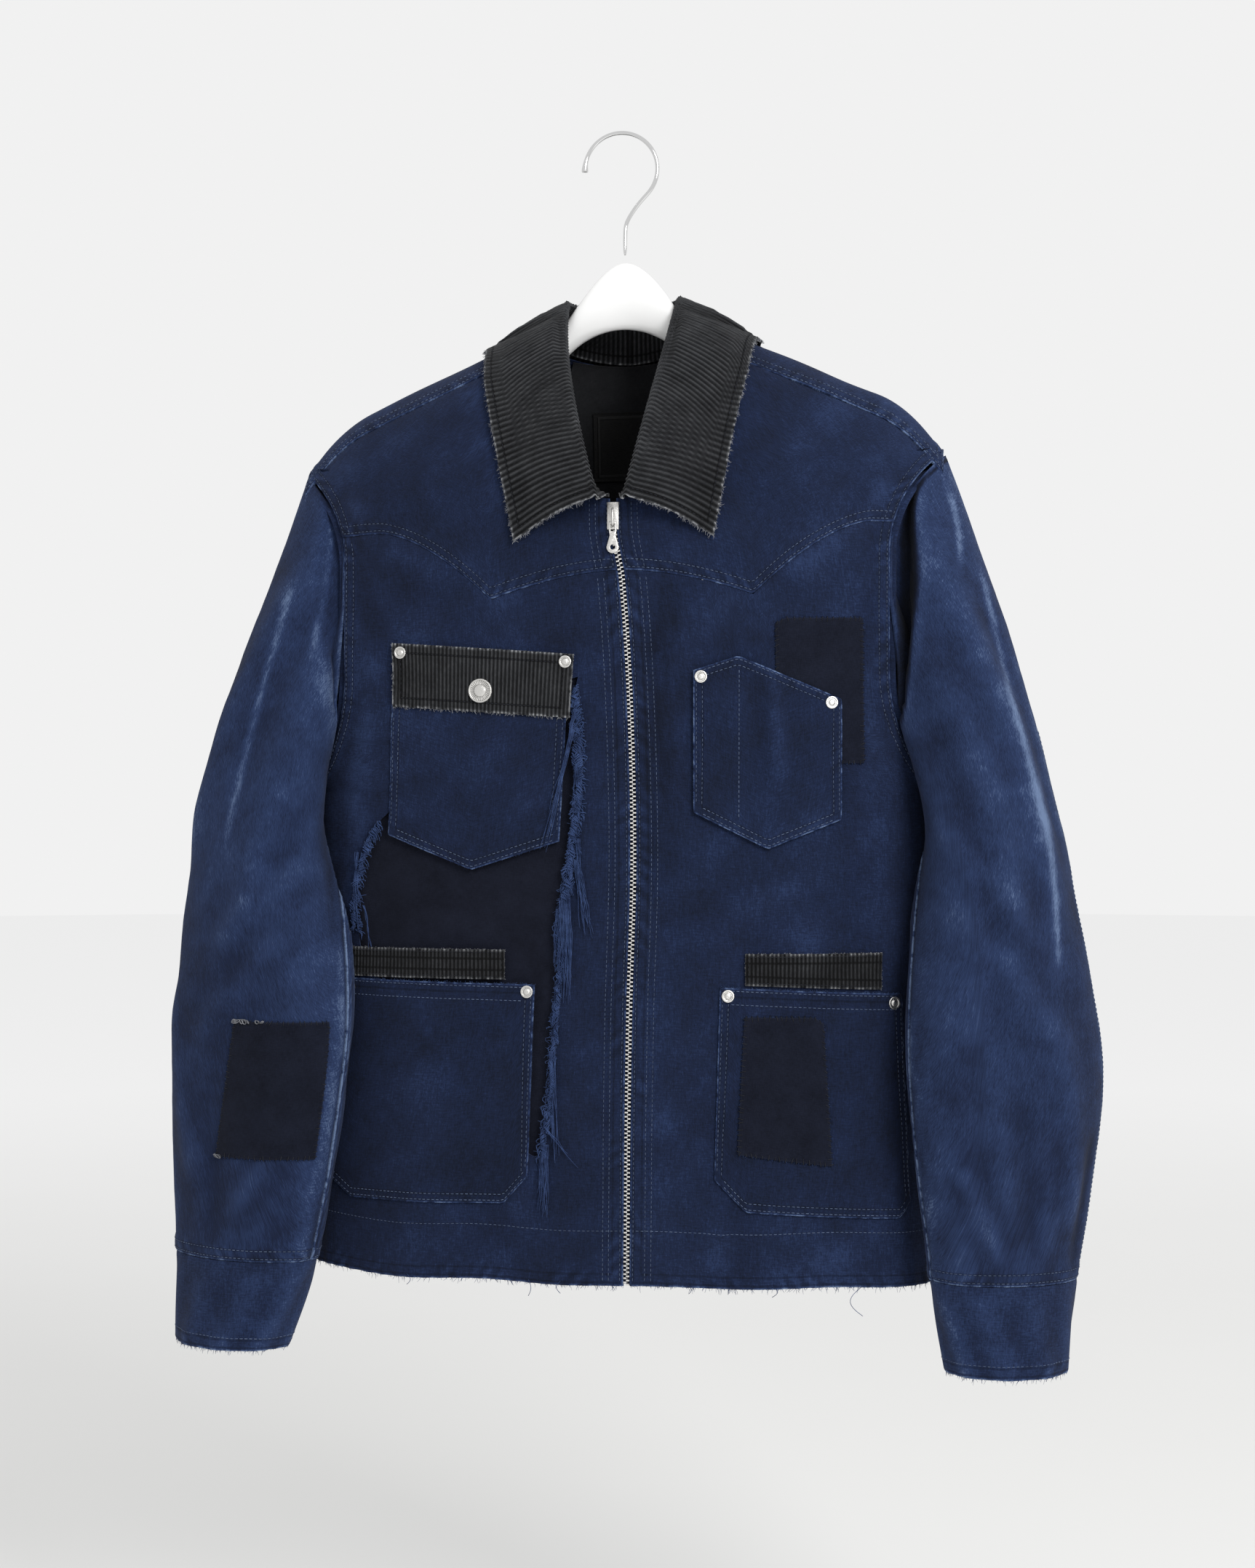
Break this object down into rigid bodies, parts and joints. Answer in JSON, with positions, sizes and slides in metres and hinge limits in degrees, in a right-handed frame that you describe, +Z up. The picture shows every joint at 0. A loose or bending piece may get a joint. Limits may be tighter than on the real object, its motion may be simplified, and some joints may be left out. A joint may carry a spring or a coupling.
{
  "type": "patched work jacket on a hanger",
  "caption": "Zip-front indigo work jacket with corduroy collar, sewn patches, pockets and a long rip, hung on a plastic hanger by its hook.",
  "frame": {"origin": "point inside the hanger's hook where a rail carries it", "axes": "+Z up, -Y towards the jacket's front, +X towards the wearer's left"},
  "size_m": [0.6962, 0.2018, 0.924],
  "materials": {
    "indigo_canvas": "worn indigo canvas",
    "dark_patch": "dark patch cloth",
    "black_lining": "plain black lining",
    "label_cloth": "plain woven label, no text",
    "charcoal_corduroy": "faded corduroy",
    "zip_tape": "navy woven tape",
    "blue_yarn": "frayed cotton yarn",
    "silver_metal": "worn silver",
    "white_plastic": "glossy moulded",
    "chrome_wire": "polished wire"
  },
  "bodies": {
    "jacket": {"back_lining": "black_lining", "back_panel": "indigo_canvas", "chest_pocket_left": "indigo_canvas", "chest_pocket_right": "indigo_canvas", "chest_rivet_left": "silver_metal", "chest_rivet_right": "silver_metal", "collar": "charcoal_corduroy", "corduroy_band_left": "charcoal_corduroy", "corduroy_band_right": "charcoal_corduroy", "cuff_left": "indigo_canvas", "cuff_right": "indigo_canvas", "flap_button": "silver_metal", "flap_rivet_left": "silver_metal", "flap_rivet_right": "silver_metal", "front_left": "indigo_canvas", "front_right": "indigo_canvas", "hanger_body": "white_plastic", "hanger_hook": "chrome_wire", "hip_left_rivet_inner": "silver_metal", "hip_left_rivet_outer": "silver_metal", "hip_pocket_left": "indigo_canvas", "hip_pocket_right": "indigo_canvas", "hip_right_rivet_inner": "silver_metal", "hip_right_rivet_outer": "silver_metal", "neck_label": "label_cloth", "patch_chest_left": "dark_patch", "patch_hip_left": "dark_patch", "patch_sleeve_right": "dark_patch", "pocket_flap": "charcoal_corduroy", "rip_fringe_front": "blue_yarn", "rip_fringe_side": "blue_yarn", "rip_underlay": "dark_patch", "sleeve_left_top": "indigo_canvas", "sleeve_left_under": "indigo_canvas", "sleeve_right_top": "indigo_canvas", "sleeve_right_under": "indigo_canvas", "yoke_back": "indigo_canvas", "yoke_front_left": "indigo_canvas", "yoke_front_right": "indigo_canvas", "zip_slider": "silver_metal", "zip_tape_left": "zip_tape", "zip_tape_right": "zip_tape"},
    "pull_tab": {"zip_pull": "silver_metal"}
  },
  "joints": [
    {"name": "pull_tab_swing", "type": "hinge", "parent": "jacket", "child": "pull_tab", "pos_m": [0.00272, -0.07976, -0.3032], "axis": [-1, 0, 0], "range_deg": [0, 150]}
  ]
}
